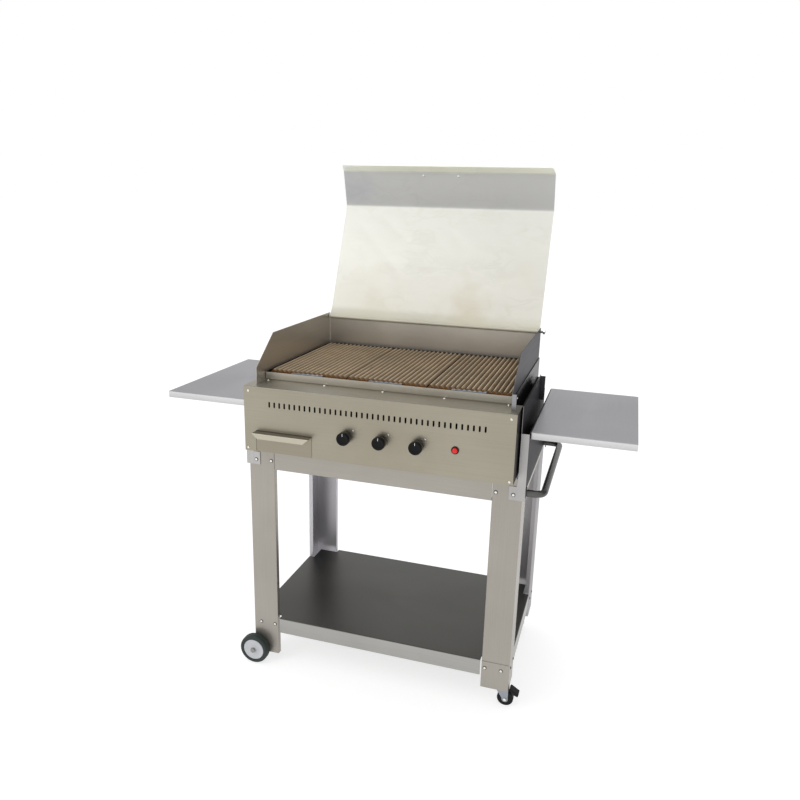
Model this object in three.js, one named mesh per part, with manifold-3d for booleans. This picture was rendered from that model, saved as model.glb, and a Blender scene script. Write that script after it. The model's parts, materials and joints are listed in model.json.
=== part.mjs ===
// Three-burner gas charbroiler on a wheeled cart: cook box, hinged lid, side tables and lower shelf.
// Units are millimetres, +Z is up. While it is modelled, x = 0 is the middle, y = 0 is the face of the
// control panel (the cook stands on the -Y side) and z = 0 is the floor. The finished group is then
// shifted so that its origin is the middle of the bottom of its bounding box.
import * as THREE from 'three';
import { mergeVertices } from 'three/addons/utils/BufferGeometryUtils.js';
import Module from 'manifold-3d';

const wasm = await Module();
wasm.setup();

// ---------------------------------------------------------------- driving dimensions
const SHEET = 1.2;                 // stainless sheet of the cook box
const PLATE = 2;                   // heavier sheet of the cart
const GAP = 0.4;                   // clearance between touching pieces
const SIDES = [['left', -1], ['right', 1]];

const PANEL = { halfWidth: 400, bottom: 754, top: 952, ledgeDepth: 94, wallTop: 975 };
const SLOTS = { count: 41, pitch: 15.9, width: 5.4, height: 17, z: 902 };
const KNOBS = { names: ['left', 'middle', 'right'], x: [-79, 26, 132], z: 834, radius: 20, length: 27 };
const SPINDLE_RADIUS = 4;
const IGNITION = { x: 238, z: 834, radius: 7.6, collar: 11, hole: 9.8 };

const CASING = { front: 5, back: 613, stepY: 500, stepTop: 915 };
const FIRE_BOX = { halfWidth: 380.6, front: 95, back: 601, bottom: 815, top: 984 };
const GUARD = { x: 378, front: 38, hemTop: 999, chamferY: 150, top: 1086, bottom: 975, hem: 11 };
const HINGE = { y: 588, z: 1073, rod: 4, knuckle: 6.6, wallGap: 8 };
const LID = {
  halfWidth: 374.5, thickness: 1.5,
  profile: [[593, 1076], [611, 1101], [754, 1458], [721, 1578], [688, 1596]],
};
const LID_HANDLE = { x: -16, halfWidth: 62, y: 727, reach: 35, z: 1566, rise: 0.27, radius: 5, bend: 12 };
const GRATE = { centres: [-246, 0, 246], width: 244, front: 112, back: 570, top: 981, height: 13 };
const GRATE_LEDGE = { halfWidth: 373, front: 125, back: 557 };
const RIBS = { count: 16, slot: 6, endBar: 12 };
const BURNER = { radius: 12, z: 900, feedY: 27, turnY: 62, end: 578 };
const SHIELD = { halfWidth: 42, eaves: 922, ridge: 946, front: 106, back: 590 };
const PAN = { halfWidth: 377, z: 852, tilt: 3, margin: 4 };
const DRAIN = { x0: -340.6, x1: -200.4, y0: 130, y1: 300 };
const MANIFOLD = { start: -110, x: 390, y: 52, end: 618, radius: 7, bend: 14, nut: 10 };
const VALVE = { halfWidth: 14, halfHeight: 15, front: 14, back: 40, neck: 10, outlet: 9, outletEnd: 44.5 };
const DRAWER = { x0: -362.6, x1: -185.4, top: 818.6, depth: 330, height: 52, inset: 3, wall: 1 };
const PULL = { reach: 28, lip: 16, slant: 18 };

const CART = { halfWidth: 420, front: 59, back: 577, beamTop: 750, beamBottom: 677 };
const LEG = { face: 84, lip: 16, leftBottom: 32, rightBottom: 73, footPlateTop: 162 };
const SHELF = { top: 162, flange: 52 };
const BRACKET = {
  inner: 407, outer: 428, flange: 421, top: { left: 929, right: 960 }, panelTop: 884, web: 756, bottom: 722,
  front: 58, wallBack: 438, back: 592,
};
const BRACKET_PLATE = {
  bottom: 689, inner: 383, step: 730, slopeX: 403, slopeTop: 742, neckX: 405, neckTop: 760,
};
const TABLE = { inner: 429, outer: 708, front: 75, back: 586, top: 886, edge: 20 };
const PUSH_HANDLE = { reach: 476, front: 74, back: 540, z: 709, radius: 10, bend: 26 };

const WHEEL = { radius: 48.5, width: 28, x: -412, rim: 41, axle: 5, legGap: 3.5, head: 8.5, headDepth: 5 };
const CASTER = {
  radius: 25, width: 19, x: 394, trail: 15, inset: 41, cheek: 2.5, crownBehind: 19, crownAhead: 24, lobe: 9,
};
const PEDAL = { halfWidth: 13, outline: [[26, -14], [30, -8], [56, -24], [53, -33], [42, -29]] };

// ---------------------------------------------------------------- materials
function steel(color, roughness = 0.35) {
  return new THREE.MeshStandardMaterial({ color, roughness, metalness: 0.9 });
}
function plain(color, roughness) {
  return new THREE.MeshStandardMaterial({ color, roughness, metalness: 0 });
}
const STEEL = {
  box: steel(0xaaa596),
  guard: steel(0x8c8c86),
  lid: steel(0xdedfd2, 0.25),
  cart: steel(0xaaa8a2),
  shelf: steel(0x70706c),
  table: steel(0xa09ea5),
  rod: steel(0xb8b8b4, 0.25),
  galvanised: steel(0xa8adb0, 0.45),
};
const CAST_IRON = plain(0x7a6248, 0.75);
const BLACK = plain(0x161616, 0.4);
const RED = plain(0xc81e1e, 0.3);
const RUBBER = plain(0x333835, 0.7);
const HUB = plain(0xc2c2c6, 0.5);
const BRASS = new THREE.MeshStandardMaterial({ color: 0xb08d4c, roughness: 0.4, metalness: 0.9 });

// ---------------------------------------------------------------- geometry helpers
function placed(geometry, x = 0, y = 0, z = 0) {
  return geometry.translate(x, y, z);
}

function box(x0, x1, y0, y1, z0, z1) {
  const geometry = new THREE.BoxGeometry(x1 - x0, y1 - y0, z1 - z0);
  return placed(geometry, (x0 + x1) / 2, (y0 + y1) / 2, (z0 + z1) / 2);
}

// A cylinder that starts at a point and runs along 'x', 'y' or 'z'.
function rod(axis, radius, length, x, y, z, sides = 16) {
  const geometry = new THREE.CylinderGeometry(radius, radius, length, sides);
  geometry.translate(0, length / 2, 0);
  if (axis === 'x') geometry.rotateZ(-Math.PI / 2);
  if (axis === 'z') geometry.rotateX(Math.PI / 2);
  return placed(geometry, x, y, z);
}

function prism(outline, length) {
  const shape = new THREE.Shape(outline.map(([u, v]) => new THREE.Vector2(u, v)));
  return new THREE.ExtrudeGeometry(shape, { depth: length, bevelEnabled: false });
}

// Outlines in (y, z) pulled along X, in (x, z) pulled along Y, and in (x, y) pulled along Z.
function alongX(outline, x0, x1) {
  const turn = new THREE.Matrix4().makeBasis(
    new THREE.Vector3(0, 1, 0), new THREE.Vector3(0, 0, 1), new THREE.Vector3(1, 0, 0));
  return placed(prism(outline, x1 - x0).applyMatrix4(turn), x0);
}
function alongY(outline, y0, y1) {
  return placed(prism(outline, y1 - y0).rotateX(Math.PI / 2), 0, y1);
}
function alongZ(outline, z0, z1) {
  return placed(prism(outline, z1 - z0), 0, 0, z0);
}

// The outline of a bent sheet: one face follows the points, the other lies `thickness` to their left.
function bentSheet(points, thickness) {
  const other = points.map((point, i) => {
    const before = points[Math.max(i - 1, 0)];
    const after = points[Math.min(i + 1, points.length - 1)];
    const first = new THREE.Vector2(point[0] - before[0], point[1] - before[1]).normalize();
    const second = new THREE.Vector2(after[0] - point[0], after[1] - point[1]).normalize();
    if (i === 0) first.copy(second);
    if (i === points.length - 1) second.copy(first);
    const mitre = new THREE.Vector2(-first.y - second.y, first.x + second.x);
    mitre.multiplyScalar((2 * thickness) / mitre.lengthSq());
    return [point[0] + mitre.x, point[1] + mitre.y];
  });
  return [...points, ...other.reverse()];
}

// A round bar bent along straight runs with rounded corners.
function bentBar(corners, bend, radius, sides = 12) {
  const path = new THREE.CurvePath();
  let start = corners[0];
  for (let i = 1; i < corners.length - 1; i += 1) {
    const here = corners[i];
    const back = corners[i - 1].clone().sub(here).setLength(bend).add(here);
    const ahead = corners[i + 1].clone().sub(here).setLength(bend).add(here);
    path.add(new THREE.LineCurve3(start, back));
    path.add(new THREE.QuadraticBezierCurve3(back, here, ahead));
    start = ahead;
  }
  path.add(new THREE.LineCurve3(start, corners[corners.length - 1]));
  const section = new THREE.Shape().absarc(0, 0, radius, 0, 2 * Math.PI);
  const stretches = 2 * corners.length - 3;
  return new THREE.ExtrudeGeometry(section, {
    extrudePath: path, steps: 6 * stretches, curveSegments: sides / 2, bevelEnabled: false,
  });
}

// A turned piece: (radius, distance) points revolved about an axis along Y.
function turned(profile, x, y, z, sides = 24) {
  const points = profile.map(([radius, distance]) => new THREE.Vector2(radius, distance));
  return placed(new THREE.LatheGeometry(points, sides), x, y, z);
}

function solid(geometry) {
  if (geometry instanceof wasm.Manifold) return geometry;
  const bare = geometry.clone();
  bare.deleteAttribute('normal');
  bare.deleteAttribute('uv');
  const merged = mergeVertices(bare, 1e-4);
  return new wasm.Manifold(new wasm.Mesh({
    numProp: 3,
    vertProperties: new Float32Array(merged.attributes.position.array),
    triVerts: new Uint32Array(merged.index.array),
  }));
}
function join(...pieces) {
  return pieces.map(solid).reduce((whole, piece) => whole.add(piece));
}
function cut(piece, ...tools) {
  return tools.map(solid).reduce((rest, tool) => rest.subtract(tool), solid(piece));
}

const object = new THREE.Group();
function add(name, shape, material) {
  let geometry = shape;
  if (shape instanceof wasm.Manifold) {
    const { vertProperties, triVerts } = shape.getMesh();
    geometry = new THREE.BufferGeometry();
    geometry.setAttribute('position', new THREE.BufferAttribute(vertProperties, 3));
    geometry.setIndex(new THREE.BufferAttribute(triVerts, 1));
    geometry.computeVertexNormals();
  }
  const mesh = new THREE.Mesh(geometry, material);
  mesh.name = name;
  object.add(mesh);
}

// The same outline on the other side of the object, kept in turning order.
function mirrored(outline, side) {
  return side > 0 ? outline : outline.map(([u, v]) => [-u, v]).reverse();
}
// A box given for the right side, put on the left or right side.
function sideBox(side, x0, x1, y0, y1, z0, z1) {
  return side > 0 ? box(x0, x1, y0, y1, z0, z1) : box(-x1, -x0, y0, y1, z0, z1);
}

// ---------------------------------------------------------------- cook box
function addFrontPanel() {
  const { halfWidth, bottom, top, ledgeDepth, wallTop } = PANEL;
  const sheet = alongX(bentSheet([
    [0, bottom], [0, top - 4], [1.2, top - 1.2], [4, top], [ledgeDepth, top], [ledgeDepth, wallTop],
  ], -SHEET), -halfWidth, halfWidth);
  const tools = [];
  const firstSlot = -SLOTS.pitch * (SLOTS.count - 1) / 2;
  for (let i = 0; i < SLOTS.count; i += 1) {
    const x = firstSlot + i * SLOTS.pitch;
    const { width, height, z } = SLOTS;
    tools.push(box(x - width / 2, x + width / 2, -1, 3, z - height / 2, z + height / 2));
  }
  for (const x of KNOBS.x) tools.push(rod('y', 7, 5, x, -1, KNOBS.z));
  tools.push(rod('y', IGNITION.hole, 5, IGNITION.x, -1, IGNITION.z, 20));
  tools.push(box(DRAWER.x0 - 1, DRAWER.x1 + 1, -1, 3, bottom - 1, DRAWER.top + 1));
  for (const side of [-1, 1]) {
    tools.push(sideBox(side, GUARD.x - 3, halfWidth + 1, ledgeDepth - 6, ledgeDepth + 2, top, wallTop + 1));
  }
  add('front_panel', cut(sheet, ...tools), STEEL.box);
}

function addCasing() {
  const { halfWidth, bottom, top } = PANEL;
  const outline = bentSheet([
    [halfWidth, CASING.front], [halfWidth, CASING.back],
    [-halfWidth, CASING.back], [-halfWidth, CASING.front],
  ], SHEET);
  const wrap = alongZ(outline, bottom, top - SHEET - GAP);
  const inletHole = rod('y', MANIFOLD.nut, 8, MANIFOLD.x, CASING.back - 5, KNOBS.z);
  const step = box(-halfWidth - 1, halfWidth + 1, CASING.stepY, CASING.back + 1, CASING.stepTop, top);
  add('casing_wrap', cut(wrap, inletHole, step), STEEL.box);
  const base = box(2 - halfWidth, halfWidth - 2, CASING.front + 1, CASING.back - 2, bottom, bottom + SHEET);
  add('base_plate', base, STEEL.cart);
}

function addFireBox() {
  const { halfWidth, front, back, bottom, top } = FIRE_BOX;
  const outer = box(-halfWidth, halfWidth, front + GAP, back, bottom, top);
  const inner = box(
    -halfWidth + SHEET, halfWidth - SHEET, front + GAP + SHEET, back - SHEET, bottom - 1, top + 1);
  const frontNotch = box(-halfWidth + 2, halfWidth - 2, front - 1, front + 3, PANEL.wallTop - 3, top + 1);
  const cornerNotches = [-1, 1].map((side) => (
    sideBox(side, GUARD.x - 2, halfWidth + 1, front - 1, front + 8, PANEL.top - 1, top + 1)));
  const burnerHoles = GRATE.centres.map((x) => rod('y', BURNER.radius + 2, 8, x, front - 2, BURNER.z));
  const walls = cut(outer, inner, frontNotch, ...cornerNotches, ...burnerHoles);
  const ledges = [[front + GAP + 0.5, GRATE_LEDGE.front], [GRATE_LEDGE.back, back - 0.5]].map(([y0, y1]) => {
    const ledgeTop = GRATE.top - GRATE.height - GAP;
    return box(-GRATE_LEDGE.halfWidth, GRATE_LEDGE.halfWidth, y0, y1, ledgeTop - SHEET, ledgeTop);
  });
  add('fire_box', join(walls, ...ledges), STEEL.guard);

  const pan = box(-PAN.halfWidth, PAN.halfWidth, front + PAN.margin, back - PAN.margin, -0.6, 0.6);
  const drain = box(DRAIN.x0, DRAIN.x1, DRAIN.y0, DRAIN.y1, -5, 5);
  const tilted = cut(pan, drain).rotate([0, -PAN.tilt, 0]).translate([0, 0, PAN.z]);
  add('drip_pan', tilted, STEEL.guard);
}

function addBurners() {
  const names = KNOBS.names;
  GRATE.centres.forEach((x, i) => {
    const feedX = KNOBS.x[i];
    const { feedY, turnY, end, z } = BURNER;
    const path = [
      new THREE.Vector3(feedX, feedY, KNOBS.z + 18), new THREE.Vector3(feedX, feedY, z),
      new THREE.Vector3(x, turnY, z), new THREE.Vector3(x, end, z),
    ];
    add(`burner_${names[i]}`, bentBar(path, 16, BURNER.radius, 8), CAST_IRON);
    const { halfWidth, eaves, ridge, front, back } = SHIELD;
    const roof = bentSheet([[x - halfWidth, eaves], [x, ridge], [x + halfWidth, eaves]], -SHEET);
    add(`heat_shield_${names[i]}`, alongY(roof, front, back), STEEL.guard);
  });
}

function addGasTrain() {
  const { start, x: rightX, y: frontY, end, radius: pipe, bend, nut } = MANIFOLD;
  const manifold = bentBar([
    new THREE.Vector3(start, frontY, KNOBS.z), new THREE.Vector3(rightX, frontY, KNOBS.z),
    new THREE.Vector3(rightX, end, KNOBS.z),
  ], bend, pipe);
  const inlet = rod('y', nut, 22, rightX, end - 2, KNOBS.z, 6);
  add('gas_manifold', join(manifold, inlet), BRASS);

  KNOBS.x.forEach((x, i) => {
    const name = KNOBS.names[i];
    const { halfWidth, halfHeight, front, back, neck, outlet } = VALVE;
    const body = join(
      box(x - halfWidth, x + halfWidth, front, back, KNOBS.z - halfHeight, KNOBS.z + halfHeight),
      rod('y', neck, 10, x, CASING.front, KNOBS.z),
      box(x - outlet, x + outlet, back - 1, VALVE.outletEnd, KNOBS.z - outlet, KNOBS.z + outlet),
    );
    const bore = rod('y', SPINDLE_RADIUS + GAP, 32, x, 0, KNOBS.z);
    add(`valve_${name}`, cut(body, bore), BRASS);

    const stem = rod('y', SPINDLE_RADIUS, 45, x, -18, KNOBS.z);
    add(`spindle_${name}`, stem, STEEL.rod);

    const { radius, length } = KNOBS;
    const profile = [
      [0, -length - 4], [radius - 4, -length - 4], [radius - 2.5, -length - 2.5], [radius - 1, -9],
      [radius, -7], [radius, -4.5], [SPINDLE_RADIUS + GAP, -4.5], [SPINDLE_RADIUS + GAP, -20], [0, -20],
    ];
    add(`knob_${name}`, turned(profile, x, 0, KNOBS.z, 18), BLACK);
  });
}

function addIgnition() {
  const { x, z, radius, collar, hole } = IGNITION;
  const bore = radius + GAP;
  const barrel = hole - GAP;
  const profile = [
    [0, 40], [barrel - 1, 40], [barrel, 38], [barrel, -0.4], [collar, -0.4], [collar, -2.6],
    [collar - 1.2, -3.6], [bore, -3.6], [bore, 14], [0, 14],
  ];
  add('igniter_body', turned(profile.reverse(), x, 0, z), BLACK);
  const cap = [[0, -9], [radius - 2.5, -8.6], [radius - 0.8, -7.4], [radius, -5.5], [radius, 9], [0, 9]];
  add('ignition_button', turned(cap, x, 0, z, 20), RED);
}

function addDrawer() {
  const { x0, x1, top, depth, height, inset, wall } = DRAWER;
  const bottom = PANEL.bottom + 4;
  const outer = box(x0 + inset, x1 - inset, 2, depth, bottom, bottom + height);
  const inner = box(
    x0 + inset + wall, x1 - inset - wall, 2 + wall, depth - wall, bottom + wall, bottom + height + 1);
  add('grease_drawer', cut(outer, inner), STEEL.box);

  const face = box(x0, x1, 0, SHEET, PANEL.bottom + 1, top);
  const pull = alongX(bentSheet([
    [SHEET, top], [-PULL.reach, top], [-PULL.reach, top - PULL.lip],
  ], SHEET), x0, x1);
  const slantTop = top - SHEET;
  const slantLow = top - PULL.lip - 1;
  const slants = [[x0, 1], [x1, -1]].map(([edge, inwards]) => alongY([
    [edge, slantTop], [edge + inwards * PULL.slant, slantLow], [edge - inwards, slantLow],
    [edge - inwards, slantTop],
  ], -PULL.reach - 1, SHEET - PULL.reach + 1));
  add('drawer_front', cut(join(face, pull), ...slants), STEEL.box);
}

// ---------------------------------------------------------------- guards, grates and lid
function addGuards() {
  const { x, front, hemTop, chamferY, top, bottom, hem } = GUARD;
  const back = FIRE_BOX.back - 3;
  const low = PANEL.top + GAP;
  for (const [name, side] of SIDES) {
    const outline = [
      [front, low], [FIRE_BOX.front + 6, low], [FIRE_BOX.front + 6, bottom], [back, bottom], [back, top],
      [chamferY, top], [front, hemTop],
    ];
    const wall = side > 0 ? alongX(outline, x - SHEET, x) : alongX(outline, -x, -x + SHEET);
    // Only the right guard has its front edge turned out.
    const hemmed = () => join(wall, box(x - SHEET, x + hem, front - SHEET, front, low, hemTop - 3));
    const sheet = side > 0 ? hemmed() : wall;
    const rodHole = rod('x', HINGE.rod + GAP, 20, side * x - 10, HINGE.y, HINGE.z, 20);
    add(`guard_${name}`, cut(sheet, rodHole), STEEL.guard);
  }
  const edge = x - SHEET - GAP;
  const wall = box(-edge, edge, back - SHEET, back, bottom, HINGE.z - HINGE.wallGap);
  add('guard_back', wall, STEEL.guard);
}

function addGrates() {
  GRATE.centres.forEach((x, i) => {
    const { width, front, back, top, height } = GRATE;
    const plate = box(x - width / 2, x + width / 2, front, back, top - height, top);
    const pitch = (width - RIBS.slot) / (RIBS.count - 1);
    const slots = [];
    for (let n = 1; n < RIBS.count - 1; n += 1) {
      const middle = x - width / 2 + RIBS.slot / 2 + n * pitch;
      slots.push(box(
        middle - RIBS.slot / 2, middle + RIBS.slot / 2,
        front + RIBS.endBar, back - RIBS.endBar, top - height - 1, top + 1,
      ));
    }
    add(`grate_${KNOBS.names[i]}`, cut(plate, ...slots), CAST_IRON);
  });
}

function addLid() {
  const { halfWidth, thickness } = LID;
  const { y, z, knuckle, rod: radius } = HINGE;
  const sheet = alongX(bentSheet(LID.profile, -thickness), -halfWidth, halfWidth);
  const tube = rod('x', knuckle, 2 * halfWidth, -halfWidth, y, z, 20);
  const bore = rod('x', radius + GAP, 2 * halfWidth + 2, -halfWidth - 1, y, z, 20);
  const grip = LID_HANDLE;
  const screwHoles = [-1, 1].map((side) => (
    rod('y', 2.5, 30, side * grip.halfWidth + grip.x, grip.y - 15, grip.z, 10)));
  add('lid', cut(join(sheet, tube), bore, ...screwHoles), STEEL.lid);
  add('hinge_rod', rod('x', radius, 788, -394, y, z, 16), STEEL.rod);

  const handle = [[-1, 0], [-1, 1], [1, 1], [1, 0]].map(([side, out]) => new THREE.Vector3(
    side * grip.halfWidth + grip.x, grip.y + out * grip.reach, grip.z + out * grip.reach * grip.rise));
  add('lid_handle', bentBar(handle, grip.bend, grip.radius, 8), BLACK);
}

// ---------------------------------------------------------------- cart
function addLegs() {
  const { halfWidth, front, back, beamTop } = CART;
  const { face, lip, leftBottom, rightBottom } = LEG;
  for (const [sideName, side] of SIDES) {
    for (const [endName, end] of [['front', 1], ['back', -1]]) {
      const y = end > 0 ? front : back;
      const path = [
        [halfWidth - face, y + end * lip], [halfWidth - face, y], [halfWidth, y],
        [halfWidth, y + end * face], [halfWidth - lip, y + end * face],
      ];
      const outline = mirrored(bentSheet(end > 0 ? path : path.reverse(), PLATE), side);
      const bottom = side > 0 ? rightBottom : leftBottom;
      let leg = solid(alongZ(outline, bottom, beamTop + 2));
      if (side > 0) {
        const axisY = y + end * CASTER.inset;
        const near = Math.min(y + end * 0.5, y + end * (face - 0.5));
        const foot = box(halfWidth - face + 0.5, halfWidth - 0.5, near, near + face - 1, bottom, bottom + 4);
        const outside = [y - end * 1.5, y + end * 0.2].sort((a, b) => a - b);
        const footPlate = box(
          halfWidth - face + GAP, halfWidth - GAP, ...outside, bottom + GAP, LEG.footPlateTop);
        leg = cut(join(leg, foot, footPlate), rod('z', 5.4, 20, CASTER.x, axisY, bottom - 5));
      } else {
        leg = cut(leg, rod('y', WHEEL.axle + GAP, 30, WHEEL.x, y - 15, WHEEL.radius));
      }
      add(`leg_${endName}_${sideName}`, leg, STEEL.cart);
    }
  }
}

function addBeams() {
  const { halfWidth, front, back, beamTop, beamBottom } = CART;
  const depth = 22;
  const setback = 0.5;
  const end = halfWidth - LEG.face - GAP;
  const inwardFlanges = [[depth, beamBottom], [0, beamBottom], [0, beamTop], [depth, beamTop]];
  const frontFace = bentSheet(inwardFlanges, -PLATE).map(([y, z]) => [front + setback + y, z]);
  const backFace = mirrored(frontFace, -1).map(([y, z]) => [y + front + back, z]);
  add('beam_front', alongX(frontFace, -end, end), STEEL.cart);
  add('beam_back', alongX(backFace, -end, end), STEEL.cart);

  const sideFace = bentSheet(inwardFlanges, -PLATE).map(([x, z]) => [x - halfWidth + setback, z]);
  const inset = LEG.face + GAP;
  for (const [name, side] of SIDES) {
    add(`beam_${name}`, alongY(mirrored(sideFace, -side), front + inset, back - inset), STEEL.cart);
  }
}

function addShelf() {
  const { halfWidth, front, back } = CART;
  const margin = PLATE + GAP;
  const [x, y0, y1] = [halfWidth - margin, front + margin, back - margin];
  const outer = box(-x, x, y0, y1, SHELF.top - SHELF.flange, SHELF.top);
  const inner = box(-x + PLATE, x - PLATE, y0 + PLATE, y1 - PLATE, 0, SHELF.top - PLATE);
  const corners = [];
  for (const side of [-1, 1]) {
    const inset = LEG.lip + PLATE + 2;
    corners.push(sideBox(side, x - inset, x + 1, y0 - 1, y0 + LEG.face + 2, 0, SHELF.top + 1));
    corners.push(sideBox(side, x - inset, x + 1, y1 - LEG.face - 2, y1 + 1, 0, SHELF.top + 1));
    corners.push(sideBox(side, x - LEG.face - 2, x + 1, y0 - 1, y0 + inset, 0, SHELF.top + 1));
    corners.push(sideBox(side, x - LEG.face - 2, x + 1, y1 - inset, y1 + 1, 0, SHELF.top + 1));
  }
  add('lower_shelf', cut(outer, inner, ...corners), STEEL.shelf);
}

function addBracketsAndTables() {
  const { inner, outer, flange, top, panelTop, web, bottom, front, wallBack, back } = BRACKET;
  for (const [name, side] of SIDES) {
    const wallLow = panelTop - 1;
    const wall = sideBox(side, inner - SHEET, inner, front, wallBack, wallLow, top[name]);
    const rearFlange = sideBox(
      side, inner - SHEET, flange, wallBack - SHEET, wallBack, wallLow, top[name]);
    const shoulder = alongY(mirrored(bentSheet([
      [inner, panelTop], [inner, web], [outer - 0.5, web],
    ], -SHEET), side), front, back);
    const panel = sideBox(side, outer - 1.4, outer, front, back, bottom, panelTop);
    const p = BRACKET_PLATE;
    const plate = alongY(mirrored([
      [outer, p.bottom], [outer, panelTop], [inner - 1, panelTop], [inner - 1, p.neckTop],
      [p.neckX, p.slopeTop], [p.slopeX, p.step], [p.inner, p.step], [p.inner, p.bottom],
    ].reverse(), side), front - 1.4, front + 0.2);
    add(`bracket_${name}`, join(wall, rearFlange, shoulder, panel, plate), STEEL.cart);

    const t = TABLE;
    const outerShape = sideBox(side, t.inner, t.outer, t.front, t.back, t.top - t.edge, t.top);
    const innerShape = sideBox(
      side, t.inner + SHEET, t.outer - SHEET, t.front + SHEET, t.back - SHEET,
      t.top - t.edge - 1, t.top - SHEET);
    add(`side_table_${name}`, cut(outerShape, innerShape), STEEL.table);
  }
}

function addPushHandle() {
  const { reach, front, back, z, radius, bend } = PUSH_HANDLE;
  const start = CART.halfWidth + GAP;
  const bar = bentBar([[start, front], [reach, front], [reach, back], [start, back]].map(([x, y]) => (
    new THREE.Vector3(x, y, z))), bend, radius);
  add('push_handle', bar, STEEL.rod);
}

// ---------------------------------------------------------------- wheels
function addFixedWheels() {
  const { radius, width, x, rim, axle, legGap, head: headRadius, headDepth } = WHEEL;
  const z = radius;
  for (const [name, outwards, legFace] of [['front', -1, CART.front], ['back', 1, CART.back]]) {
    const near = legFace + outwards * legGap;
    const far = near + outwards * width;
    const low = Math.min(near, far);
    const tyre = [
      [rim, 1.5], [radius - 4, 0], [radius - 1, 3], [radius, width / 2], [radius - 1, width - 3],
      [radius - 4, width], [rim, width - 1.5], [rim, 1.5],
    ];
    add(`tyre_${name}`, turned(tyre, x, low, z, 28), RUBBER);
    const hub = [
      [axle + GAP, 0.5], [14, 0.5], [15, 4], [rim - GAP, 4], [rim - GAP, width - 4], [15, width - 4],
      [14, width - 0.5], [axle + GAP, width - 0.5], [axle + GAP, 0.5],
    ];
    add(`hub_${name}`, turned(hub, x, low, z, 28), HUB);
    const headSide = far + outwards * 0.4;
    const inside = legFace - outwards * 12;
    const shank = rod('y', axle, Math.abs(headSide - inside) + 0.1, x, Math.min(headSide, inside), z);
    const head = rod('y', headRadius, headDepth, x, outwards > 0 ? headSide : headSide - headDepth, z, 6);
    add(`axle_${name}`, join(shank, head), STEEL.rod);
  }
}

// The front caster points outwards and the back one inwards.
function addCasters() {
  const { radius, width, x, trail, inset, cheek, crownBehind, crownAhead, lobe } = CASTER;
  for (const [name, y, facing] of [['front', CART.front + inset, 1], ['back', CART.back - inset, -1]]) {
    const top = LEG.rightBottom - 1;
    const half = width / 2 + 2;
    const away = (distance) => x + facing * distance;
    const wheelX = away(trail);
    const cheekOutline = [
      [away(-crownBehind), top - 9], [away(crownAhead), top - 9], [away(trail + lobe), radius - 4],
      [wheelX, radius - lobe], [away(trail - lobe), radius - 4],
    ];
    const cheeks = [-1, 1].map((side) => {
      const face = y + side * half;
      return alongY(cheekOutline, Math.min(face, face + side * cheek), Math.max(face, face + side * cheek));
    });
    const [crownLow, crownHigh] = [away(-crownBehind), away(crownAhead)].sort((a, b) => a - b);
    const crown = box(crownLow, crownHigh, y - half - cheek, y + half + cheek, top - 11, top - 8);
    const bearing = rod('z', 15, 9.5, x, y, top - 9.5, 20);
    const stem = rod('z', 5, 16, x, y, top - 2);
    const pin = rod('y', 4, 2 * (half + cheek + 2), wheelX, y - half - cheek - 2, radius, 12);
    add(`caster_fork_${name}`, join(crown, bearing, stem, ...cheeks, pin), STEEL.galvanised);

    const profile = [
      [4 + GAP, 1], [radius - 7, 1], [radius - 3, 0], [radius - 0.6, 3], [radius, width / 2],
      [radius - 0.6, width - 3], [radius - 3, width], [radius - 7, width - 1],
      [4 + GAP, width - 1], [4 + GAP, 1],
    ];
    add(`caster_wheel_${name}`, turned(profile, wheelX, y - width / 2, radius, 24), BLACK);

    const outline = PEDAL.outline.map(([reach, drop]) => [away(reach), top + drop]);
    const pedal = alongY(outline, y - PEDAL.halfWidth, y + PEDAL.halfWidth);
    add(`brake_pedal_${name}`, pedal, BLACK);
  }
}

addFrontPanel();
addCasing();
addFireBox();
addBurners();
addGasTrain();
addIgnition();
addDrawer();
addGuards();
addGrates();
addLid();
addLegs();
addBeams();
addShelf();
addBracketsAndTables();
addPushHandle();
addFixedWheels();
addCasters();

const extent = new THREE.Box3().setFromObject(object);
const middle = extent.getCenter(new THREE.Vector3());
object.position.set(-middle.x, -middle.y, -extent.min.z);

export default object;
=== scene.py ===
"""A three-burner gas charbroiler on a wheeled cart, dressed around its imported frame.

Sheet-metal nodes get rounded bends and eased edges, and the lid, grates, knobs, wheels and handles get
finer shapes of their own. Lengths in the tables are millimetres, and at() turns them into the frame.
"""
import json
import math

import bmesh
import bpy
from mathutils import Matrix, Vector, noise


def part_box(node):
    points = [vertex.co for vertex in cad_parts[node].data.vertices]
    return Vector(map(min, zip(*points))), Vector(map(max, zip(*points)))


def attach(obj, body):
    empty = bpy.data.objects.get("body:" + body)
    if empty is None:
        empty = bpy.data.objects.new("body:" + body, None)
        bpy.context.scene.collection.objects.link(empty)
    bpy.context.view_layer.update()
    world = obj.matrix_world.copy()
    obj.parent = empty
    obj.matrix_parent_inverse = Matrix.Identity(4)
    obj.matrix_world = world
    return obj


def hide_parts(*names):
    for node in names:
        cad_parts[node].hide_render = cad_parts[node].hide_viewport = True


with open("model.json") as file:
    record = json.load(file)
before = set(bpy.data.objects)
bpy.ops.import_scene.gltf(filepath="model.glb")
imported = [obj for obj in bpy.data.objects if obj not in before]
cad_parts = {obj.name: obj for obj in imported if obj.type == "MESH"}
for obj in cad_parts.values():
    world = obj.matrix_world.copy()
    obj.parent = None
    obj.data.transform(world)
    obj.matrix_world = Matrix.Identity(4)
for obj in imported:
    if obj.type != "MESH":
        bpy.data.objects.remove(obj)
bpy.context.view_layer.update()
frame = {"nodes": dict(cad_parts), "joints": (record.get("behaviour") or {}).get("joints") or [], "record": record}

MM = 0.001
RECORD = frame["record"]
BODY_OF = {node: body for body, nodes in RECORD["behaviour"]["bodies"].items() for node in nodes}
SLOT_OF = {part["node"]: part["material_slot"] for part in RECORD["subparts"]}
PANEL_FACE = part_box("front_panel")[0].y
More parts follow.
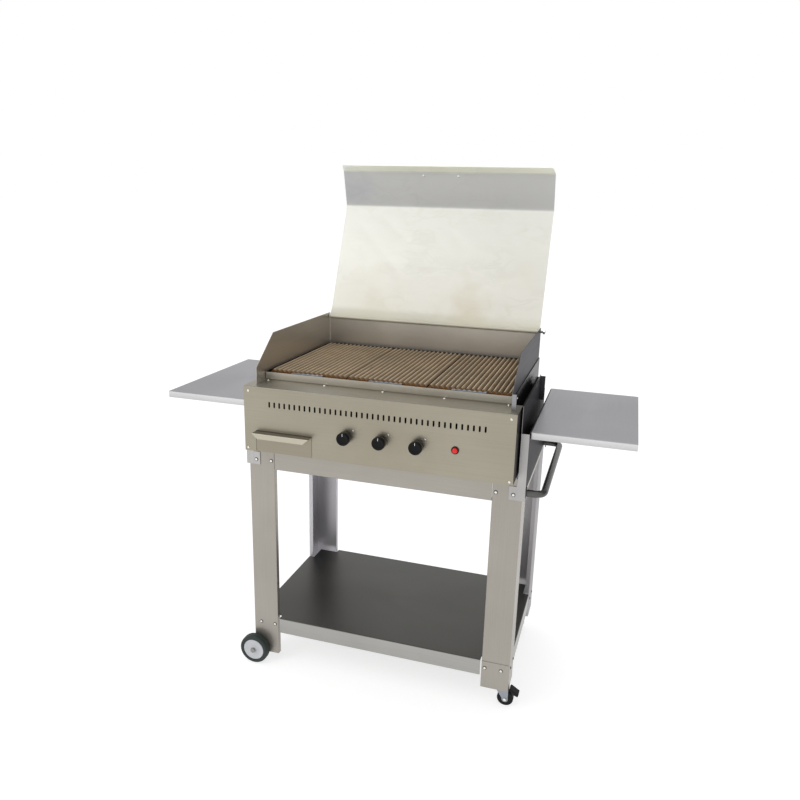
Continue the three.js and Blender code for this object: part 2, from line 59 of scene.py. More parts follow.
HINGE = Vector(next(j for j in frame["joints"] if j["name"] == "lid_hinge")["pos_m"])
NAMES = ("left", "middle", "right")
ENDS = (("front", 1), ("back", -1))
SIDES = (("left", -1), ("right", 1))


def at(x, y, z):
    """A point given in millimetres from the middle, the control panel's face and the floor."""
    return Vector((x * MM, PANEL_FACE + y * MM, z * MM))


# ---------------------------------------------------------------- camera and studio
CAMERA_AT = at(642.1, -1840, 1491.8)
CAMERA_YAW = 0.2974
CAMERA_PITCH = 0.2703
CAMERA_ROLL = 0.0253
CAMERA_LENS = 32.96


def add_camera():
    forward = Vector((
        -math.sin(CAMERA_YAW) * math.cos(CAMERA_PITCH),
        math.cos(CAMERA_YAW) * math.cos(CAMERA_PITCH),
        -math.sin(CAMERA_PITCH),
    ))
    level = Vector((math.cos(CAMERA_YAW), math.sin(CAMERA_YAW), 0))
    upright = level.cross(forward)
    right = level * math.cos(CAMERA_ROLL) + upright * math.sin(CAMERA_ROLL)
    up = right.cross(forward)
    rotation = Matrix((right, up, -forward)).transposed().to_4x4()
    data = bpy.data.cameras.new("camera")
    data.lens = CAMERA_LENS
    data.sensor_width = 36
    camera = bpy.data.objects.new("camera", data)
    camera.matrix_world = Matrix.Translation(CAMERA_AT) @ rotation
    bpy.context.scene.collection.objects.link(camera)
    bpy.context.scene.camera = camera


SOFTBOXES = (
    # name, place in metres, size, watts
    ("key_light", (-2.6, -3.2, 3.6), 2.6, 42),
    ("fill_light", (3.2, -2.2, 2.6), 2.4, 12),
    ("top_light", (0.2, 0.6, 4.2), 3.2, 26),
)
AIM = Vector((0, 0, 0.85))
WORLD_OPEN = (1.0, 1.0, 1.0, 1)
WORLD_SHADED = (0.42, 0.42, 0.44, 1)
WORLD_RAMP = (0.3, 0.7)
FLOOR_SIZE = 160
FLOOR_GREY = (0.42, 0.42, 0.42, 1)
FLOOR_GLOW = 0.7


def add_studio():
    for name, place, size, watts in SOFTBOXES:
        data = bpy.data.lights.new(name, "AREA")
        data.shape = "SQUARE"
        data.size = size
        data.energy = watts
        light = bpy.data.objects.new(name, data)
        light.location = place
        light.rotation_euler = (AIM - Vector(place)).to_track_quat("-Z", "Y").to_euler()
        bpy.context.scene.collection.objects.link(light)

    world = bpy.data.worlds.new("studio")
    world.use_nodes = True
    tree = world.node_tree
    direction = tree.nodes.new("ShaderNodeTexCoord")
    split = tree.nodes.new("ShaderNodeSeparateXYZ")
    ramp = tree.nodes.new("ShaderNodeValToRGB")
    for element, position, colour in zip(
            ramp.color_ramp.elements, WORLD_RAMP, (WORLD_OPEN, WORLD_SHADED)):
        element.position = position
        element.color = colour
    tree.links.new(direction.outputs["Generated"], split.inputs[0])
    tree.links.new(split.outputs["X"], ramp.inputs[0])
    tree.links.new(ramp.outputs[0], tree.nodes["Background"].inputs["Color"])
    bpy.context.scene.world = world
    bpy.context.scene.view_settings.view_transform = "Standard"

    bpy.ops.mesh.primitive_grid_add(size=FLOOR_SIZE, x_subdivisions=4, y_subdivisions=4)
    floor = bpy.context.object
    floor.name = "floor"
    shader, _ = new_material("floor")
    shader.inputs["Base Color"].default_value = FLOOR_GREY
    shader.inputs["Roughness"].default_value = 0.9
    shader.inputs["Specular IOR Level"].default_value = 0
    shader.inputs["Emission Color"].default_value = (1, 1, 1, 1)
    shader.inputs["Emission Strength"].default_value = FLOOR_GLOW
    floor.data.materials.append(MATERIALS["floor"])


# ---------------------------------------------------------------- material helpers
MATERIALS = {}


def grey(level):
    return (level, level, level, 1)


def linear(red, green, blue):
    """A colour given as 0 to 255 display values, as the shader's linear values."""
    values = []
    for display in (red, green, blue):
        share = display / 255
        values.append(share / 12.92 if share < 0.04045 else ((share + 0.055) / 1.055) ** 2.4)
    return (*values, 1)


def new_material(name):
    """A new entry of MATERIALS: returns its shader and its node tree."""
    material = bpy.data.materials.new(name)
    material.use_nodes = True
    MATERIALS[name] = material
    return material.node_tree.nodes["Principled BSDF"], material.node_tree


def surface_noise(tree, stretch, detail=3.0, distortion=0.0):
    """Noise in the piece's own coordinates, with a frequency per metre along each axis."""
    place = tree.nodes.new("ShaderNodeTexCoord")
    mapping = tree.nodes.new("ShaderNodeMapping")
    mapping.inputs["Scale"].default_value = stretch
    texture = tree.nodes.new("ShaderNodeTexNoise")
    texture.inputs["Scale"].default_value = 1
    texture.inputs["Detail"].default_value = detail
    texture.inputs["Distortion"].default_value = distortion
    tree.links.new(place.outputs["Object"], mapping.inputs["Vector"])
    tree.links.new(mapping.outputs[0], texture.inputs["Vector"])
    return texture.outputs["Fac"]


def spread(tree, value, low, high, to_low=0.0, to_high=1.0):
    """A value's range from low to high, stretched and clamped to another range."""
    node = tree.nodes.new("ShaderNodeMapRange")
    for i, number in enumerate((low, high, to_low, to_high), start=1):
        node.inputs[i].default_value = number
    tree.links.new(value, node.inputs[0])
    return node.outputs[0]


def multiply(tree, first, second):
    node = tree.nodes.new("ShaderNodeMath")
    node.operation = "MULTIPLY"
    tree.links.new(first, node.inputs[0])
    tree.links.new(second, node.inputs[1])
    return node.outputs[0]


def blend_colours(tree, factor, first, second, mode="MIX"):
    node = tree.nodes.new("ShaderNodeMix")
    node.data_type = "RGBA"
    node.blend_type = mode
    for socket, value in ((node.inputs[0], factor), (node.inputs[6], first), (node.inputs[7], second)):
        if isinstance(value, bpy.types.NodeSocket):
            tree.links.new(value, socket)
        else:
            socket.default_value = value
    return node.outputs[2]


def vary(tree, tone, mask, low, high):
    """A tone multiplied by a factor that goes from low to high with a mask."""
    return blend_colours(tree, 1.0, tone, blend_colours(tree, mask, grey(low), grey(high)), "MULTIPLY")


def add_bump(tree, shader, height, distance):
    node = tree.nodes.new("ShaderNodeBump")
    node.inputs["Strength"].default_value = 1
    node.inputs["Distance"].default_value = distance
    tree.links.new(height, node.inputs["Height"])
    tree.links.new(node.outputs[0], shader.inputs["Normal"])


def shaded(colour, factor):
    return (*(min(1, channel * factor) for channel in colour[:3]), 1)


def tone_by_place(tree, axis, stops):
    """A colour that changes along an axis of the piece, from (metres, display colour) stops."""
    place = tree.nodes.new("ShaderNodeTexCoord")
    split = tree.nodes.new("ShaderNodeSeparateXYZ")
    tree.links.new(place.outputs["Object"], split.inputs[0])
    first, last = stops[0][0], stops[-1][0]
    ramp = tree.nodes.new("ShaderNodeValToRGB")
    elements = ramp.color_ramp.elements
    elements[0].color = linear(*stops[0][1])
    elements[1].color = linear(*stops[-1][1])
    for where, colour in stops[1:-1]:
        elements.new((where - first) / (last - first)).color = linear(*colour)
    tree.links.new(spread(tree, split.outputs[axis], first, last), ramp.inputs[0])
    return ramp.outputs[0]


def near_point(tree, point, reach, wobble=14):
    """1 at a point of the surface, fading to 0 at a ragged distance from it."""
    place = tree.nodes.new("ShaderNodeTexCoord")
    distance = tree.nodes.new("ShaderNodeVectorMath")
    distance.operation = "DISTANCE"
    distance.inputs[1].default_value = point
    tree.links.new(place.outputs["Object"], distance.inputs[0])
    ragged = tree.nodes.new("ShaderNodeMath")
    ragged.operation = "MULTIPLY_ADD"
    ragged.inputs[1].default_value = reach * 1.1
    tree.links.new(surface_noise(tree, (wobble,) * 3, detail=4), ragged.inputs[0])
    tree.links.new(distance.outputs["Value"], ragged.inputs[2])
    return spread(tree, ragged.outputs[0], reach * 0.45, reach * 1.35, 1, 0)


# ---------------------------------------------------------------- materials
GRAIN = {"x": (5, 420, 420), "y": (420, 5, 420), "z": (420, 420, 5)}
ANISOTROPY = 0.35
FINE_BUMP = 0.00004


def painted_crease_shade(tree):
    """Faint, broken, slightly darker bands: painted shade of the creases of a crumpled sheet."""
    folds = surface_noise(tree, (10, 10, 24), detail=4, distortion=0.7)
    lines = multiply(tree, spread(tree, folds, 0.4, 0.5), spread(tree, folds, 0.5, 0.58, 1, 0))
    broken = spread(tree, surface_noise(tree, (6, 6, 9)), 0.4, 0.66, 0, 0.6)
    return blend_colours(tree, multiply(tree, lines, broken), grey(1), (0.9, 0.9, 0.87, 1))


def brushed_steel(
        name, grain, cloud, colour=None, zones=None, stains_and_shade=(), roughness=0.34, metallic=0.9,
        streak=0.04, edge=1.0, crease_shade=False):
    """Brushed sheet: fine lines along the grain, soft cloudy patches, a few stained patches, and on the panel a
    patch of painted shade.

    zones gives the colour by place instead: the name of an axis and its stops, which here paint light and shade
    onto the sheet's faces.
    edge dims what the sheet mirrors when it is seen almost edge on.
    """
    shader, tree = new_material(name)
    shader.inputs["Metallic"].default_value = metallic
    shader.inputs["Anisotropic"].default_value = ANISOTROPY
    shader.inputs["Specular Tint"].default_value = grey(edge)
    tone = tone_by_place(tree, *zones) if zones else linear(*colour)
    clouds = spread(tree, surface_noise(tree, (3.2, 3.2, 4.5), detail=2, distortion=0.6), 0.3, 0.7)
    tone = vary(tree, tone, clouds, 1 - cloud, 1 + cloud)
    lines = surface_noise(tree, GRAIN[grain], detail=4)
    tone = vary(tree, tone, spread(tree, lines, 0.3, 0.7), 1 - streak, 1 + streak)
    # painted shade along the creases
    if crease_shade:
        tone = blend_colours(tree, 1.0, tone, painted_crease_shade(tree), "MULTIPLY")
    # real stains on the lid, and on the panel a patch of painted shade
    for point, reach, patch_colour, amount in stains_and_shade:
        mask = spread(tree, near_point(tree, point, reach), 0, 1, 0, amount)
        tone = blend_colours(tree, mask, tone, linear(*patch_colour))
    tree.links.new(tone, shader.inputs["Base Color"])
    rough = spread(tree, lines, 0.25, 0.75, roughness - 0.04, roughness + 0.06)
    tree.links.new(rough, shader.inputs["Roughness"])
    add_bump(tree, shader, lines, FINE_BUMP)


# painted light on the lid: painted shade on the strip by the hinge and on the band, a painted highlight on the lip
LID_PAINTED_LIGHT = (
    # millimetres above the hinge, display colour
    (-8, (176, 172, 156)), (12, (196, 193, 178)), (40, (214, 212, 202)), (383, (220, 220, 213)),
    (388, (182, 182, 180)), (500, (186, 186, 184)), (507, (240, 241, 226)), (524, (246, 247, 232)),
)


def lid_steel():
    """Bright sheet, stained by heat mostly low on it, with painted shade on the strip by the hinge, on the band
    and along its creases, and a painted highlight on the lip.
    """
    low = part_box("lid")[0].z
    depth = (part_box("lid")[0].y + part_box("lid")[1].y) / 2
    stains_and_shade = (
        # place, reach, display colour, amount
        ((0.12, depth, low + 0.05), 0.15, (188, 176, 146), 0.6),
        ((-0.22, depth, low + 0.03), 0.2, (200, 194, 172), 0.45),
        ((0.3, depth, low + 0.2), 0.12, (206, 202, 184), 0.3),
        ((-0.34, depth, low + 0.44), 0.13, (150, 152, 168), 0.6),
    )
    stops = tuple((HINGE.z + height * MM, colour) for height, colour in LID_PAINTED_LIGHT)
    brushed_steel(
        "lid_steel", "x", 0.025, zones=("Z", stops), stains_and_shade=stains_and_shade, roughness=0.45, metallic=0.3,
        streak=0.01, crease_shade=True)


def cast_iron(name, zones, rust, front=None):
    """Cast surface: a colour by height, darker towards the bottom of the ribs, rusty streaks and pits, and rust on
    the front ends.
    """
    shader, tree = new_material(name)
    tone = tone_by_place(tree, *zones)
    patches = spread(tree, surface_noise(tree, (9, 9, 9), detail=4), 0.35, 0.68)
    mottle = blend_colours(tree, patches, grey(0.86), (1.1, 1.08, 1.06, 1))
    tone = blend_colours(tree, 1.0, tone, mottle, "MULTIPLY")
    rusty = spread(tree, surface_noise(tree, (60, 14, 60), detail=5), 0.56, 0.74, 0, 0.4)
    tone = blend_colours(tree, rusty, tone, linear(*rust))
    if front is not None:
        ends = tone_by_place(tree, "Y", ((front - 0.001, (255,) * 3), (front + 0.0045, (0,) * 3)))
        tone = blend_colours(tree, ends, tone, linear(*rust))
    speckle = surface_noise(tree, (900, 900, 900), detail=5)
    tone = vary(tree, tone, spread(tree, speckle, 0.3, 0.7), 0.78, 1.12)
    tree.links.new(tone, shader.inputs["Base Color"])
    shader.inputs["Metallic"].default_value = 0.1
    tree.links.new(spread(tree, speckle, 0.2, 0.8, 0.5, 0.78), shader.inputs["Roughness"])
    add_bump(tree, shader, speckle, 0.0003)


def moulded(name, colour, roughness, grain=1400, depth=0.00005, variation=0.12, shine=0.5):
    """Moulded plastic or rubber: a fine even grain with slight handling marks."""
    shader, tree = new_material(name)
    base = linear(*colour)
    shader.inputs["Specular IOR Level"].default_value = shine
    marks = spread(tree, surface_noise(tree, (35, 35, 35), detail=4), 0.3, 0.75)
    tone = blend_colours(tree, marks, shaded(base, 1 - variation), shaded(base, 1 + variation))
    tree.links.new(tone, shader.inputs["Base Color"])
    rough = spread(tree, marks, 0, 1, roughness - 0.05, roughness + 0.1)
    tree.links.new(rough, shader.inputs["Roughness"])
    add_bump(tree, shader, surface_noise(tree, (grain,) * 3), depth)


def turned_metal(name, colour, roughness):
    """Plain bar, plated or polished metal with faint blotches."""
    shader, tree = new_material(name)
    base = linear(*colour)
    shader.inputs["Metallic"].default_value = 1
    marks = spread(tree, surface_noise(tree, (110, 110, 110), detail=4), 0.3, 0.7)
    tree.links.new(blend_colours(tree, marks, shaded(base, 0.85), base), shader.inputs["Base Color"])
    tree.links.new(spread(tree, marks, 0, 1, roughness, roughness + 0.12), shader.inputs["Roughness"])
    add_bump(tree, shader, surface_noise(tree, (700, 700, 700)), FINE_BUMP)


def layers(node, axis, *bands):
    """Stops for a colour by place: (millimetres from the node's top or front, colour) bands."""
    low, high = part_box(node)
    start = low.y if axis == "Y" else high.z
    return axis, tuple((start + offset * MM, colour) for offset, colour in bands)


WALL_LIGHT_DEPTHS = (0.9, 0.4)


def painted_light_on_wall(node, axis, rest, wall):
    """Stops that paint the outer face of a node's last wall along an axis lighter or darker than the rest, as
    light and shade.
    """
    low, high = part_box(node)
    first = low.x if axis == "X" else low.y
    last = high.x if axis == "X" else high.y
    deep, shallow = (last - depth * MM for depth in WALL_LIGHT_DEPTHS)
    return axis, ((first, rest), (deep, rest), (shallow, wall), (last, wall))


def make_materials():
    # painted light by height on one sheet: the face, a band of painted shade on the ledge, the wall above it
    # painted lighter
    panel = layers("front_panel", "Z", (-230, (155, 149, 134)), (-25, (156, 150, 135)),
                   (-24, (136, 130, 118)), (-22, (136, 130, 118)), (-20, (182, 178, 166)),
                   (0, (196, 192, 181)))
    # painted shade: the shelf's top painted much darker than its sides
    shelf_painted_shade = layers("lower_shelf", "Z", (-52, (160, 159, 155)), (-2.6, (164, 163, 159)), (-1.4, (82, 81, 78)),
                   (0, (82, 81, 78)))
    # painted light: the table's top painted darker than its sides, which are lightest just below the edge
    table_painted_light = layers("side_table_right", "Z", (-20, (190, 190, 190)), (-2.6, (210, 210, 210)),
                   (-0.8, (141, 140, 144)), (0, (141, 140, 144)))
    # painted shade: the right bracket's upstand painted dark behind its lighter front edge
    bracket_painted_shade = layers("bracket_right", "Y", (0, (176, 174, 172)), (1.7, (170, 168, 166)), (2.2, (98, 96, 99)),
                     (200, (96, 94, 97)))
    # painted light: the left bracket's front edge lighter than the rest
    left_bracket_painted_light = layers("bracket_left", "Y", (0, (176, 174, 172)), (1.7, (170, 168, 166)),
                          (2.2, (156, 153, 148)), (200, (156, 153, 148)))
    # painted shade: the outer face of the casing's right wall painted dark
    casing_painted_shade = painted_light_on_wall("casing_wrap", "X", (158, 153, 142), (96, 94, 92))
    # painted shade: the fire box painted dark, the outer face of its back wall lighter
    fire_box = painted_light_on_wall("fire_box", "Y", (72, 71, 73), (150, 146, 138))
    # painted shade: the right guard's outer face painted darker than its front edge
    right_guard_painted_shade = layers("guard_right", "Y", (0, (150, 150, 152)), (1.1, (144, 144, 146)), (1.5, (112, 111, 114)),
                   (560, (106, 105, 108)))
    grate = layers("grate_left", "Z", (-13, (50, 39, 27)), (-8, (84, 66, 44)), (-4.5, (116, 96, 69)),
                   (-1.4, (156, 137, 108)), (0, (186, 170, 144)))
    burner = layers("burner_left", "Z", (-80, (44, 40, 38)), (0, (70, 64, 60)))
    # painted light on the drawer front: the lip's front face lighter, the top of the ledge behind it painted dark
    # as shade
    drawer_painted_light = layers("drawer_front", "Y", (0, (184, 178, 162)), (1.3, (180, 174, 158)), (1.8, (112, 106, 96)),
                    (26, (112, 106, 96)), (27.6, (147, 140, 125)), (29.2, (147, 140, 125)))
    # painted shade: a darker patch in the middle of the panel
    middle_shade = (((0.03, PANEL_FACE, 0.83), 0.3, (148, 141, 125), 0.75),)

    brushed_steel("box_steel", "x", 0.05, (149, 142, 127))
    brushed_steel("drawer_steel", "x", 0.05, zones=drawer_painted_light)
    brushed_steel("panel_steel", "x", 0.05, zones=panel, stains_and_shade=middle_shade)
    brushed_steel("casing_steel", "z", 0.08, zones=casing_painted_shade, edge=0.5)
    brushed_steel("guard_steel", "y", 0.1, (198, 193, 184))
    brushed_steel("outer_guard_painted_shade_steel", "y", 0.12, zones=right_guard_painted_shade, edge=0.4)
    brushed_steel("fire_box_steel", "y", 0.08, zones=fire_box, roughness=0.36)
    lid_steel()
    brushed_steel("cart_steel", "z", 0.05, (158, 153, 145), metallic=0.75)
    # lighter copies of the cart steel for the back legs, as painted light
    brushed_steel("back_leg_painted_light_steel", "z", 0.08, (196, 194, 198), roughness=0.36, metallic=0.7)
    brushed_steel("side_leg_painted_light_steel", "z", 0.08, (172, 170, 172), metallic=0.7, edge=0.6)
    brushed_steel("beam_steel", "x", 0.05, (160, 156, 148), metallic=0.75)
    brushed_steel("bracket_steel", "z", 0.1, zones=bracket_painted_shade, edge=0.3)
    brushed_steel("left_bracket_painted_light_steel", "z", 0.06, zones=left_bracket_painted_light)
    brushed_steel("shelf_steel", "x", 0.06, zones=shelf_painted_shade, roughness=0.36)
    brushed_steel("table_steel", "y", 0.05, zones=table_painted_light, roughness=0.36)

    turned_metal("bar_steel", (150, 150, 147), 0.26)
    turned_metal("dark_bar", (98, 98, 96), 0.3)
    turned_metal("zinc_plated", (158, 164, 170), 0.38)
    turned_metal("tab_steel", (146, 155, 166), 0.3)
    turned_metal("brass", (184, 150, 86), 0.34)
    turned_metal("bright_screw", (240, 238, 232), 0.16)
    cast_iron("cast_iron", grate, (116, 72, 20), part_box("grate_left")[0].y)
    cast_iron("burner_iron", burner, (92, 56, 34))

    moulded("knob_plastic", (5, 5, 7), 0.14, variation=0.05, shine=0.16)
    moulded("black_plastic", (18, 18, 18), 0.42, shine=0.2)
    moulded("caster_tread", (22, 23, 24), 0.5, grain=600, depth=0.0001, shine=0.2)
    moulded("red_plastic", (206, 22, 20), 0.2, variation=0.06)
    moulded("tyre", (46, 54, 51), 0.6, grain=500, depth=0.0002, shine=0.3)
    moulded("hub_plastic", (186, 187, 191), 0.45, variation=0.05)
    moulded("pointer_white", (226, 226, 222), 0.4, variation=0.04)


# ---------------------------------------------------------------- mesh helpers
SHARP_ANGLE = math.radians(38)
BEND_ANGLE = math.radians(60)
FLAT_ANGLE = math.radians(1)
BEND_FACE_WIDTH = 5
HOLE_CORNER_LENGTH = 1.6


def piece(name, bm, body, material, replaces=(), tidy_normals=True):
    """The object made from a bmesh, smoothed, dressed, and riding on its body."""
    if tidy_normals:
        bmesh.ops.recalc_face_normals(bm, faces=bm.faces[:])
    mesh = bpy.data.meshes.new(name)
    bm.to_mesh(mesh)
    bm.free()
    mesh.polygons.foreach_set("use_smooth", [True] * len(mesh.polygons))
    mesh.set_sharp_from_angle(angle=SHARP_ANGLE)
    mesh.materials.append(MATERIALS[material])
    obj = bpy.data.objects.new(name, mesh)
    bpy.context.scene.collection.objects.link(obj)
    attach(obj, body)
    if replaces:
        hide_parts(*replaces)
    return obj


def keep_flats_flat(mesh):
    """Big faces keep their own shading, so that only the narrow bends between them look round."""
    around = [[] for _ in mesh.vertices]
    faces = [(face.normal.copy(), face.area, tuple(face.vertices)) for face in mesh.polygons]
    for normal, area, corners in faces:
        for corner in corners:
            around[corner].append((normal, area ** 2))
    limit = math.cos(SHARP_ANGLE)
    normals = []
    for normal, _, corners in faces:
        for corner in corners:
            total = Vector()
            for other, weight in around[corner]:
                if normal.dot(other) > limit:
                    total += other * weight
            normals.append(total.normalized() if total.length > 0 else normal)
    mesh.normals_split_custom_set(normals)


def mean_width(face):
    """Close to the width of a long narrow face."""
    return 2 * face.calc_area() / max(face.calc_perimeter(), 1e-9)


def ease(bm, edges, radius, segments, clamp):
    """Rounds edges over, by a radius in metres."""
    bmesh.ops.bevel(
        bm, geom=edges, offset=radius, offset_type="OFFSET", segments=segments, profile=0.5,
        affect="EDGES", clamp_overlap=clamp)


def bridge(bm, first, second):
    """A band of faces between two rings with the same number of points."""
    for k in range(len(first)):
        j = (k + 1) % len(first)
        bm.faces.new((first[k], first[j], second[j], second[k]))


def bend_points(start, corner, end, steps):
    """Points of a round bend from start to end, drawn towards a corner."""
    shares = (i / steps for i in range(steps + 1))
    return [start * (1 - t) ** 2 + corner * 2 * t * (1 - t) + end * t ** 2 for t in shares]


def dress_sheet(node, bend=0.0, edge=0.3, material=None, holes=0.0):
    """A copy of a CAD node with its outer bends rounded, its edges eased, its holes' corners rounded."""
    bm = bmesh.new()
    bm.from_mesh(frame["nodes"][node].data)
    bmesh.ops.remove_doubles(bm, verts=bm.verts[:], dist=2e-6)
    bmesh.ops.dissolve_limit(bm, angle_limit=FLAT_ANGLE, verts=bm.verts[:], edges=bm.edges[:])
    if bend:
        outer = [
            e for e in bm.edges
            if len(e.link_faces) == 2 and e.is_convex and e.calc_face_angle() > BEND_ANGLE
            and min(mean_width(f) for f in e.link_faces) > BEND_FACE_WIDTH * MM
        ]
        ease(bm, outer, bend * MM, 4, False)
    if holes:
        corners = [
            e for e in bm.edges
            if not e.is_convex and e.calc_length() < HOLE_CORNER_LENGTH * MM
            and e.calc_face_angle(0) > SHARP_ANGLE
            and abs((e.verts[0].co - e.verts[1].co).normalized().y) > 0.9
        ]
        ease(bm, corners, holes * MM, 4, True)
    if edge:
        sharp = [
            e for e in bm.edges
            if len(e.link_faces) == 2 and e.is_convex and e.calc_face_angle() > SHARP_ANGLE
        ]
        ease(bm, sharp, edge * MM, 1, True)
    slot = SLOT_OF[node]
    obj = piece(f"{node}_sheet", bm, BODY_OF[node], material or slot, (node,), False)
    keep_flats_flat(obj.data)


def spin(bm, profile, origin, axis, sides=48):
    """Revolves (radius, distance) points, in millimetres, about an axis through the origin."""
    axis = Vector(axis).normalized()
    across = axis.orthogonal().normalized()
    other = axis.cross(across)
    rings = []
    for radius, distance in profile:
        centre = Vector(origin) + axis * distance * MM
        if radius == 0:
            rings.append([bm.verts.new(centre)])
            continue
        ring = []
        for i in range(sides):
            angle = 2 * math.pi * i / sides
            out = across * math.cos(angle) + other * math.sin(angle)
            ring.append(bm.verts.new(centre + out * radius * MM))
        rings.append(ring)
    closed = profile[0] == profile[-1]
    if closed:
        for vert in rings.pop():
            bm.verts.remove(vert)
        rings.append(rings[0])
    for first, second in zip(rings, rings[1:]):
        for i in range(sides):
            j = (i + 1) % sides
            corners = [first[i % len(first)], first[j % len(first)], second[j % len(second)],
                       second[i % len(second)]]
            bm.faces.new(list(dict.fromkeys(corners)))


def block(bm, low, high, radius=0.0):
    """A box between two corners, with rounded edges of that radius in millimetres."""
    made = bmesh.ops.create_cube(bm, size=1)["verts"]
    size = Vector(high) - Vector(low)
    middle = (Vector(high) + Vector(low)) / 2
    for vert in made:
        vert.co = Vector(c * s for c, s in zip(vert.co, size)) + middle
    if radius:
        edges = list({e for v in made for e in v.link_edges})
        ease(bm, edges, radius * MM, 3, True)


def rounded_path(corners, bend, steps=8):
    """Points along straight runs joined by round corners."""
    points = [corners[0]]
    for before, here, after in zip(corners, corners[1:], corners[2:]):
        start = here + (before - here).normalized() * bend
        end = here + (after - here).normalized() * bend
        points += bend_points(start, here, end, steps)
    points.append(corners[-1])
    return points


def tube(bm, path, radius, sides=28):
    """A round bar that follows a path, with closed ends."""
    rings = []
    across = None
    for i, point in enumerate(path):
        ahead = path[min(i + 1, len(path) - 1)] - path[max(i - 1, 0)]
        ahead.normalize()
        across = ahead.orthogonal() if across is None else across - ahead * across.dot(ahead)
        across.normalize()
        other = ahead.cross(across)
        ring = []
        for k in range(sides):
            angle = 2 * math.pi * k / sides
            ring.append(bm.verts.new(
                point + (across * math.cos(angle) + other * math.sin(angle)) * radius))
        rings.append(ring)
    for first, second in zip(rings, rings[1:]):
        bridge(bm, first, second)
    bm.faces.new(rings[0])
    bm.faces.new(rings[-1])


def fold(bm, corners, thickness, bend, along):
    """A sheet bent along a line of corners, with round bends, and pulled along a direction."""
    outer = rounded_path(corners, bend, 5)
    inner = []
    for i, point in enumerate(outer):
        ahead = outer[min(i + 1, len(outer) - 1)] - outer[max(i - 1, 0)]
        inner.append(point + along.cross(ahead).normalized() * thickness)
    rows = [[bm.verts.new(p + lift) for p in outer + inner[::-1]] for lift in (Vector(), along)]
    bridge(bm, *rows)
    size = len(rows[0])
    for row in rows:
        for k in range(len(outer) - 1):
            bm.faces.new((row[k], row[k + 1], row[size - 2 - k], row[size - 1 - k]))


def washer(bm, point, outwards, radius):
    profile = [(0, -0.2), (radius, -0.2), (radius, 0.5), (radius - 0.4, 0.9), (0, 0.9)]
    spin(bm, profile, point, outwards, 28)


def screw(bm, point, outwards, radius, lift=0.0):
    """A domed head with a socket, sitting on a surface or lifted from it by a washer."""
    height = radius * 0.62
    dome = [(0, lift - 0.2), (radius, lift - 0.2), (radius, lift + height * 0.35)]
    for i in range(1, 5):
        angle = math.radians(15 * i)
        dome.append((radius * math.cos(angle), lift + height * (0.35 + 0.65 * math.sin(angle))))
    socket = radius * 0.4
    dome += [(socket, lift + height * 0.9), (socket, lift + height * 0.45), (0, lift + height * 0.45)]
    spin(bm, dome, point, outwards, 24)


# ---------------------------------------------------------------- sheet metal
SHEETS = (
    # node, radius of its outer bends in millimetres, material if not the slot's own
    ("casing_wrap", 1.5, "casing_steel"), ("fire_box", 0.8, "fire_box_steel"),
    ("drawer_front", 1.4, "drawer_steel"),
    ("guard_left", 0, None), ("guard_right", 0, "outer_guard_painted_shade_steel"), ("guard_back", 0, None),
    ("base_plate", 0, "casing_steel"), ("grease_drawer", 0.6, None), ("beam_front", 2.2, "beam_steel"),
    ("beam_back", 2.2, "beam_steel"), ("beam_left", 2.2, "cart_steel"), ("beam_right", 2.2, "cart_steel"),
    ("lower_shelf", 2.4, None), ("bracket_left", 0, "left_bracket_painted_light_steel"),
    ("bracket_right", 0, "bracket_steel"),
    ("side_table_left", 2.6, None), ("side_table_right", 2.6, None), ("brake_pedal_front", 1.6, None),
    ("brake_pedal_back", 1.6, None),
)
SLOT_ROUNDING = 2.4
KEPT_NODES = [f"{kind}_{name}" for kind in ("burner", "heat_shield", "valve", "spindle") for name in NAMES]
KEPT_NODES += ["drip_pan", "gas_manifold", "igniter_body", "hinge_rod", "axle_front", "axle_back"]


def dress_nodes():
    """Dresses the sheets, and gives the nodes that keep their CAD shape their materials."""
    for node, bend, material in SHEETS:
        dress_sheet(node, bend, material=material)
    dress_sheet("front_panel", material="panel_steel", holes=SLOT_ROUNDING)
    for node in KEPT_NODES:
        obj = frame["nodes"][node]
        for holder in obj.material_slots:
            holder.material = MATERIALS[SLOT_OF[node]]
        obj.data.polygons.foreach_set("use_smooth", [True] * len(obj.data.polygons))
        obj.data.set_sharp_from_angle(angle=SHARP_ANGLE)


# ---------------------------------------------------------------- legs
LEG_INNER, LEG_OUTER = 336, 420
LEG_DEPTH = 84
LEG_LIP = 16
LEG_OUTLINE = (
    (LEG_INNER, LEG_LIP), (LEG_INNER, 0), (LEG_OUTER, 0), (LEG_OUTER, LEG_DEPTH),
    (LEG_OUTER - LEG_LIP, LEG_DEPTH),
)
LEG_SHEET = 2
LEG_BEND = 3.6
LEG_TOP = 752
FOOT = {"left": 32, "right": 73}
LEG_FACE = {"front": 59, "back": 577}
FOOT_SHEET = 4
FOOT_INSET = 2.1
FOOT_PLATE_TOP = 162
FOOT_PLATE_SHEET = 1.5
FOOT_PLATE_INSET = 0.4
# painted light: the two back legs get lighter copies of the cart steel
LEG_PAINTED_LIGHT = {("back", "left"): "back_leg_painted_light_steel", ("back", "right"): "side_leg_painted_light_steel"}


